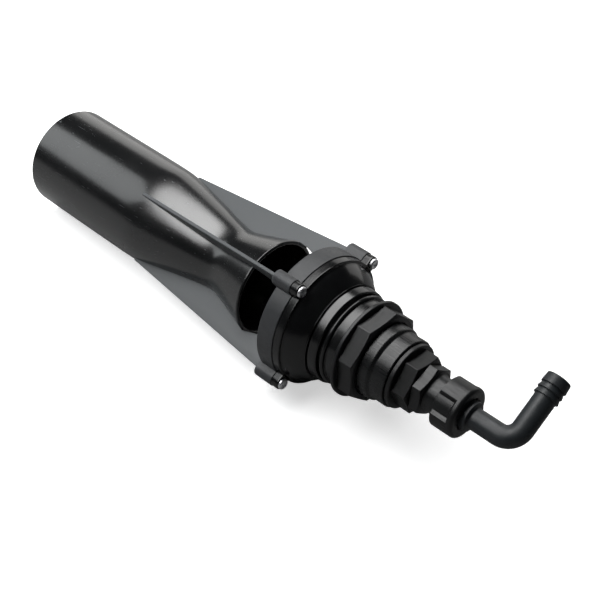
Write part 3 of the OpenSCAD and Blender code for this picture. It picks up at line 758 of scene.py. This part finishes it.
class FOOT_OT_reducer(bpy.types.Operator):
    """Reducer: a thread into the cap, a thin bright-edged flange, and a chamfered octagon."""
    bl_idname = "foot.reducer"
    bl_label = "Reducer bush"

    def execute(self, context):
        g = context.scene.foot_fittings
        x0, x1 = ends("reducer_bush")
        thread_end = x0 + 18
        flat, corner, edge = g.octagon / MM, FIN_ANGLE + math.radians(82.5), 0.9
        angles = polygon_angles(flat, 8, corner, edge, 160)
        radius = polygon_radius(angles, flat, 8, corner, edge)
        base = thread_end + 3.2
        flange = rounded([
            [x0, 21.8, 0.4], [x0, 29.8, 0.6], [thread_end, 29.8, 0.1], [thread_end, 40.7, 0.5],
            [base, 40.7, 0.9], [base, 38.6, 0.2], [base + 2, 25, 0],
        ])[:-3]
        inside = rounded([
            [x1, 33.5, 0.1], [x1, 31.2, 0.5], [x1 - 4, 31.2, 0.4], [x1 - 4, 27.15, 0.3],
            [ends("check_valve_body")[0] - 0.6, 27.15, 0.3], [ends("check_valve_body")[0] - 0.6, 21.8, 0.2],
            [x0 + 2, 21.8, 0],
        ])[2:-2]
        rows = joined(angles, flange, prism_rows(base, x1, radius, flat - 0.7, 3.2, 0.35), inside)
        skin = polypropylene("satin polypropylene, reducer", g.satin, g.satin_tint, 0.36)
        shape = shell(round_axis(*rows, angles))
        piece("reducer_bush_skin", [shape], "housing", skin, ["reducer_bush"])
        return {"FINISHED"}


class FOOT_OT_valve_body(bpy.types.Operator):
    """Check valve body: a rounded collar in the reducer's recess and a plain barrel."""
    bl_idname = "foot.valve_body"
    bl_label = "Check valve body"

    def execute(self, context):
        g = context.scene.foot_fittings
        x0, x1 = ends("check_valve_body")
        guide_x = ends("poppet_guide")[0]
        collar_x, bore, clip_x = x0 + 11.6, 18.6, ends("guide_clip")[0]
        step_x = collar_x + 10.4
        cord, half, floor_x = 24.75, 1.0, x1 - 1.3
        line = rounded([
            [x0, 20.06, 0.4], [x0, 27, 0.5], [collar_x, 27, 0.2], [collar_x, 30.6, 2.2],
            [step_x, 30.6, 2.4],
            [step_x + 1.6, 28.4, 1.6], [x1, 28.4, 0.9], [x1, cord + half, 0.1], [floor_x, cord + half, 0.1],
            [floor_x, cord - half, 0.1], [x1, cord - half, 0.1], [x1, 23.15, 0.4],
            [ends("seat_ring")[0], 23.15, 0.2],
            [ends("seat_ring")[0], bore, 0.3], [guide_x + 3.1, bore, 0.2], [guide_x + 3.1, 20.06, 0.1],
            [clip_x + 1.3, 20.06, 0.1], [clip_x + 1.3, 21.2, 0.1], [clip_x - 0.1, 21.2, 0.1],
            [clip_x - 0.1, 20.06, 0.1],
        ])
        skin = polypropylene("satin polypropylene, valve body", g.satin, g.dark, 0.3)
        piece("check_valve_body_skin", [shell(turned(line))], "housing", skin,
            ["check_valve_body"])
        return {"FINISHED"}


class FOOT_OT_cover(bpy.types.Operator):
    """Check valve cover: a round flange over the body's end, and a hexagon to turn it by."""
    bl_idname = "foot.cover"
    bl_label = "Check valve cover"

    def execute(self, context):
        g = context.scene.foot_fittings
        x0, x1 = ends("check_valve_cover")
        base, hex_x = ends("check_valve_body")[1] + 0.5, ends("check_valve_body")[1] + 4.3
        flat, corner, edge = g.cover_hex / MM, FIN_ANGLE + math.radians(81.5), 0.7
        angles = polygon_angles(flat, 6, corner, edge)
        radius = polygon_radius(angles, flat, 6, corner, edge)
        seat_end = ends("seat_ring")[1]
        flange = rounded([
            [x0, 15.76, 0.2], [x0, 23, 0.5], [base, 23, 0.1], [base, 26.8, 0.5], [hex_x, 26.8, 1.0],
            [hex_x, 24.2, 0.2], [hex_x + 2, 12, 0],
        ])[:-3]
        inside = rounded([
            [x1, 17.5, 0.1], [x1, 13.35, 0.5], [x1 - 11, 13.35, 0.3], [x1 - 11, 11.5, 0.3],
            [seat_end, 11.5, 0.2], [seat_end, 15.76, 0.2], [x0 + 1, 15.76, 0],
        ])[2:-2]
        rows = joined(angles, flange, prism_rows(hex_x, x1, radius, flat - 0.5, 4.5, 0.3), inside)
        skin = polypropylene("satin polypropylene, cover", g.dark, g.dark_tint, 0.4)
        piece("check_valve_cover_skin", [shell(round_axis(*rows, angles))], "housing", skin,
            ["check_valve_cover"])
        return {"FINISHED"}


class FOOT_OT_nipple(bpy.types.Operator):
    """Hex nipple: a short hexagon and a smooth flared neck that runs into the fly nut."""
    bl_idname = "foot.nipple"
    bl_label = "Hex nipple"

    def execute(self, context):
        g = context.scene.foot_fittings
        x0, x1 = ends("hex_nipple")
        base = ends("nipple_washer")[1]
        front = base + 8.6
        flat, corner, edge = g.nipple_hex / MM, FIN_ANGLE + math.radians(112), 0.9
        angles = polygon_angles(flat, 6, corner, edge)
        radius = polygon_radius(angles, flat, 6, corner, edge)
        thread = rounded([
            [x0, 8.5, 0.4], [x0, 13.2, 0.7], [base, 13.2, 0.1], [base, 17.2, 0.3], [base + 3, 10, 0],
        ])[:-3]
        back_x, back_r = prism_rows(base, front, radius, flat - 0.6, 2.6, 0.4)
        back_x[0] = base + 0.02
        neck = rounded([
            [front, 17.2, 0], [front, 15.2, 1.6], [front + 3, 14.9, 0.8], [x1, 14.9, 0.9], [x1, 8.5, 0.5],
            [x0 + 2, 8.5, 0],
        ])[1:-1]
        rows = joined(angles, thread, (back_x, back_r), neck)
        skin = polypropylene("satin polypropylene, nipple", g.satin_tint, g.dark, 0.34)
        piece("hex_nipple_skin", [shell(round_axis(*rows, angles))], "housing", skin,
            ["hex_nipple"])
        return {"FINISHED"}


class FOOT_OT_nut(bpy.types.Operator):
    """Fly nut: a barrel with three broad grip pads that run into a full front rim."""
    bl_idname = "foot.nut"
    bl_label = "Fly nut"

    def execute(self, context):
        g = context.scene.foot_fittings
        x0, x1 = ends("fly_nut")
        barrel, top = g.nut / MM, g.pad / MM
        rim_x, lip_x = x1 - 5.4, x1 - 3.4
        middle = FIN_ANGLE + math.radians(54)
        angles = circle_of(384)
        third = 2 * math.pi / 3
        t = np.abs((angles - middle + third / 2) % third - third / 2)
        pad = 1 - smooth(math.radians(32.5), math.radians(39.5), t)
        x = np.concatenate([
            x0 + np.array([0, 0.04, 0.15, 0.35, 0.6, 0.9, 1.2, 1.6, 2.2, 3]),
            np.linspace(x0 + 5, rim_x - 2.5, 6),
            np.linspace(rim_x - 1.8, rim_x + 1, 9), np.linspace(rim_x + 1.5, x1 - 2.8, 2),
        ])
        rear = smooth(x0 + 0.3, x0 + 1.7, x)[:, None]
        rim = smooth(rim_x - 1.5, rim_x + 0.8, x)[:, None]
        soft = np.sqrt(np.clip(1 - (1 - np.clip((x - x0) / 0.6, 0, 1)) ** 2, 0, 1))[:, None]
        height = (top - barrel) * np.maximum(rim, pad * rear)
        body_rows = (np.broadcast_to(x[:, None], (len(x), len(angles))), barrel - 0.6 + 0.6 * soft + height)
        nose_r, turn = 2.8, np.linspace(0, math.pi / 2, 9)[1:]
        nose = np.column_stack([x1 - nose_r + nose_r * np.sin(turn), top - nose_r + nose_r * np.cos(turn)])
        inside = rounded([
            [x1, 16.5, 0], [x1, 13.6, 0.3], [x1 - 1.2, 12.4, 0.4], [lip_x, 12.4, 0.3], [lip_x, 15.05, 0.3],
            [x0, 15.05, 0.5], [x0, 16, 0],
        ])[1:]
        rows = joined(angles, body_rows, nose, inside)
        skin = polypropylene("semi-gloss polypropylene, nut", g.dark, g.dark_tint, 0.36)
        piece("fly_nut_skin", [shell(round_axis(*rows, angles))], "fly_nut", skin,
            ["fly_nut"])
        return {"FINISHED"}


def bent(line, count, bend_x, bend, angle):
    """Carries an outline of (distance, radius) along a line that turns a quarter circle.

    Up to bend_x the line is the main axis. Then, at a = (distance - bend_x) / bend, its point is
    (bend_x + bend sin a, bend (1 - cos a)) and its normal (-sin a, cos a), both in the plane of X and
    the outward direction; after the quarter it runs straight outward.
    """
    s, r = line[:, :1], line[:, 1:]
    a = np.clip((s - bend_x) / bend, 0, math.pi / 2)
    beyond = np.maximum(s - bend_x - bend * math.pi / 2, 0)
    along = np.minimum(s, bend_x) + bend * np.sin(a)
    out = bend * (1 - np.cos(a)) + beyond
    t = circle_of(count)[None]
    x = along - np.sin(a) * r * np.cos(t)
    u = out + np.cos(a) * r * np.cos(t)
    v = r * np.sin(t)
    c, s1 = math.cos(angle), math.sin(angle)
    return np.stack([x, u * c - v * s1, u * s1 + v * c], axis=-1)


class FOOT_OT_tail(bpy.types.Operator):
    """Hose tail: a boss in the nut, a bent pipe and a barbed outlet, with its bore open through."""
    bl_idname = "foot.tail"
    bl_label = "Hose tail"

    def execute(self, context):
        g = context.scene.foot_fittings
        x0 = ends("hose_tail")[0]
        pipe, bend = g.tail / MM, g.bend / MM
        bore, boss = pipe - 2.2, 12.1
        boss_end = ends("fly_nut")[1] + 4.2
        ring_x0, ring_x1 = ends("tail_snap_ring")
        bend_x = ends("hose_tail")[1] - pipe - bend
        quarter = bend * math.pi / 2
        end = bend_x + quarter + 56.8 - bend
        barb, pitch = 10.2, 4.7
        starts = end - 8 - pitch * np.array([2, 1, 0])
        barbs = []
        for start, after in zip(starts, [pitch, pitch, 8]):
            barbs += [[start, pipe + 0.05, 0.15], [start + 0.1, barb, 0.35]]
            if after == pitch:
                barbs += [[start + after - 0.4, pipe + 0.5, 0.2]]
        turn = np.linspace(bend_x, bend_x + quarter, 19)
        line = rounded(np.concatenate([
            [[x0, bore, 0.4], [x0, boss, 0.5], [ring_x0 - 0.1, boss, 0.1], [ring_x0 - 0.1, boss - 1.2, 0.1],
             [ring_x1 + 0.1, boss - 1.2, 0.1], [ring_x1 + 0.1, boss, 0.1], [boss_end, boss, 0.9],
             [boss_end + 0.7, pipe, 1.2]],
            curve(np.column_stack([turn, np.full(19, pipe)])),
            barbs,
            [[end, pipe + 0.9, 0.7], [end, bore, 0.7]],
            curve(np.column_stack([turn[::-1], np.full(19, bore)])),
        ]))
        shape = shell(bent(line, 96, bend_x, bend, FIN_ANGLE))
        skin = filled_nylon(g.tail_skin, g.tail_tint)
        piece("hose_tail_skin", [shape], "hose_tail", skin, ["hose_tail"])
        return {"FINISHED"}


class FOOT_OT_inner(bpy.types.Operator):
    """Finishes of the seals, spring, rings and poppet, whose CAD shapes stay."""
    bl_idname = "foot.inner"
    bl_label = "Inner parts"

    def execute(self, context):
        rubber = epdm_rubber(linear("#131313"), linear("#232323"))
        steel = drawn_steel(linear("#b9bcc0"), linear("#9b9ea3"))
        plastic = acetal(linear("#d8d2c2"), linear("#cbc4b0"))
        finishes = {
            rubber: ["flange_o_ring", "jet_o_ring", "reducer_gasket", "collar_o_ring", "seat_ring",
                "cover_o_ring",
                     "nipple_washer", "tail_washer"],
            steel: ["guide_clip", "return_spring", "tail_snap_ring"],
            plastic: ["poppet_guide", "poppet"],
        }
        for material, names in finishes.items():
            for name in names:
                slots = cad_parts[name].material_slots
                if not slots:
                    raise RuntimeError(f"{name} has no material slot")
                for slot in slots:
                    slot.material = material
        return {"FINISHED"}


# ---------------------------------------------------------------- the stage

def softbox(name, place, aim, width, height, power, tint):
    """A large area light at place that faces aim."""
    lamp = bpy.data.lights.new(name, "AREA")
    lamp.shape = "RECTANGLE"
    lamp.size, lamp.size_y, lamp.energy, lamp.color = width, height, power, tint
    made = bpy.data.objects.new(name, lamp)
    bpy.context.scene.collection.objects.link(made)
    made.location = place
    made.rotation_euler = (Vector(aim) - Vector(place)).to_track_quat("-Z", "Y").to_euler()
    made.visible_camera = False
    return made


def floor_mesh():
    """A pale floor, tilted so that the tube's open end and the ring's lugs both rest on it.

    z = -r0 - (r1 - r0) x / x1, through the tube's lowest point at x = 0 and the frame's at x1,
    where the screw bosses begin. r0 and r1 are their largest distances from the main axis.
    """
    half, shift, cells = 5.0, 0.2, 40
    tube, ring = reach("venturi_tube"), reach("fin_frame")
    rest_x = (RING_END - RING_LENGTH - BOSS_BACK) * MM
    slope = (ring - tube) / rest_x
    span = np.linspace(-half, half, cells + 1)
    x, y = np.meshgrid(span + shift, span)
    z = -tube - slope * x
    points = np.stack([x, y, z], axis=-1).reshape(-1, 3)
    i, j = np.meshgrid(np.arange(cells), np.arange(cells), indexing="ij")
    row = cells + 1
    corner = (i * row + j).ravel()
    faces = np.stack([corner, corner + 1, corner + row + 1, corner + row], -1)
    mesh = bpy.data.meshes.new("floor")
    mesh.from_pydata(points, [], faces.tolist())
    return mesh


class FOOT_OT_stage(bpy.types.Operator):
    """Floor, soft lights, surroundings and camera."""
    bl_idname = "foot.stage"
    bl_label = "Stage"

    def execute(self, context):
        scene = context.scene
        floor = bpy.data.objects.new("floor", floor_mesh())
        scene.collection.objects.link(floor)
        material, tree, shader, _ = surface("matt white paper", 1.45)
        seen = add(tree, "LightPath").outputs["Is Camera Ray"]
        tree.links.new(mixed(tree, seen, linear("#868686"), linear("#fafafa")), shader.inputs["Base Color"])
        tree.links.new(between(tree, seen, 0.0, 1.0, 0.0, 0.55), shader.inputs["Emission Strength"])
        shader.inputs["Emission Color"].default_value = linear("#ffffff")
        shader.inputs["Roughness"].default_value = 0.9
        floor.data.materials.append(material)
        softbox("overhead strip", (-0.03, -0.3, 1.0), (0.02, -0.3, 0.0), 2.2, 0.42, 19, (1.0, 1.0, 1.0))
        softbox("high side", (-0.93, -0.56, 0.95), (0.1, 0.0, 0.0), 1.1, 1.0, 6.2, (0.96, 0.99, 1.0))
        softbox("backdrop", (-0.4, 1.3, 0.35), (0.1, 0.0, 0.05), 2.4, 0.8, 5.5, (1.0, 0.99, 0.97))
        world = bpy.data.worlds.new("studio")
        world.use_nodes = True
        tree = world.node_tree
        shown = add(tree, "Background", {"Color": linear("#f2f3f4"), "Strength": 1.0})
        felt = add(tree, "Background", {"Color": linear("#9a9da0"), "Strength": 0.12})
        pick = add(tree, "MixShader", {0: add(tree, "LightPath").outputs["Is Camera Ray"],
            1: felt.outputs["Background"], 2: shown.outputs["Background"]})
        tree.links.new(pick.outputs["Shader"], tree.nodes["World Output"].inputs["Surface"])
        scene.world = world
        scene.view_settings.view_transform = "Standard"
        self.camera(scene)
        return {"FINISHED"}

    def camera(self, scene):
        """The camera looks at the cap's end of the tube from above and in front, rolled a little."""
        lens = bpy.data.cameras.new("camera")
        lens.sensor_width, lens.lens = 36.0, 70.4
        lens.clip_end = 20
        made = bpy.data.objects.new("camera", lens)
        scene.collection.objects.link(made)
        azimuth, elevation, roll = (math.radians(a) for a in (42.32, 39.11, 3.08))
        aim, distance = Vector((0.2874, 0.0044, 0.0)), 0.9303
        forward = Vector((-math.sin(azimuth) * math.cos(elevation), math.cos(azimuth) * math.cos(elevation),
            -math.sin(elevation)))
        made.matrix_world = (
            Matrix.Translation(aim - forward * distance)
            @ forward.to_track_quat("-Z", "Y").to_matrix().to_4x4()
            @ Matrix.Rotation(roll, 4, "Z")
        )
        scene.camera = made


OPERATORS = (
    FOOT_OT_stage, FOOT_OT_tube, FOOT_OT_frame, FOOT_OT_cap, FOOT_OT_screws, FOOT_OT_jet, FOOT_OT_reducer,
    FOOT_OT_valve_body, FOOT_OT_cover, FOOT_OT_nipple, FOOT_OT_nut, FOOT_OT_tail, FOOT_OT_inner,
)


class FOOT_PT_panel(bpy.types.Panel):
    """Lists the pieces of the foot piece and their sizes."""
    bl_idname = "FOOT_PT_panel"
    bl_label = "Foot piece"
    bl_space_type = "VIEW_3D"
    bl_region_type = "UI"
    bl_category = "Foot piece"

    def draw(self, context):
        for operator in OPERATORS:
            self.layout.operator(operator.bl_idname)
        for name, group in GROUPS.items():
            box = self.layout.box()
            box.label(text=group.__doc__)
            for key in group.__annotations__:
                box.prop(getattr(context.scene, name), key)


def register():
    """Registers the sizes, the operators and the panel, and puts the sizes on the scene."""
    for name, group in GROUPS.items():
        bpy.utils.register_class(group)
        setattr(bpy.types.Scene, name, bpy.props.PointerProperty(type=group))
    for item in (*OPERATORS, FOOT_PT_panel):
        bpy.utils.register_class(item)


def unregister():
    """Takes away all that register added, in the opposite order."""
    for item in (FOOT_PT_panel, *reversed(OPERATORS)):
        bpy.utils.unregister_class(item)
    for name, group in reversed(GROUPS.items()):
        delattr(bpy.types.Scene, name)
        bpy.utils.unregister_class(group)


def main():
    """Registers the classes and builds everything in order."""
    register()
    for operator in OPERATORS:
        group, name = operator.bl_idname.split(".")
        getattr(getattr(bpy.ops, group), name)()


if __name__ == "__main__":
    main()
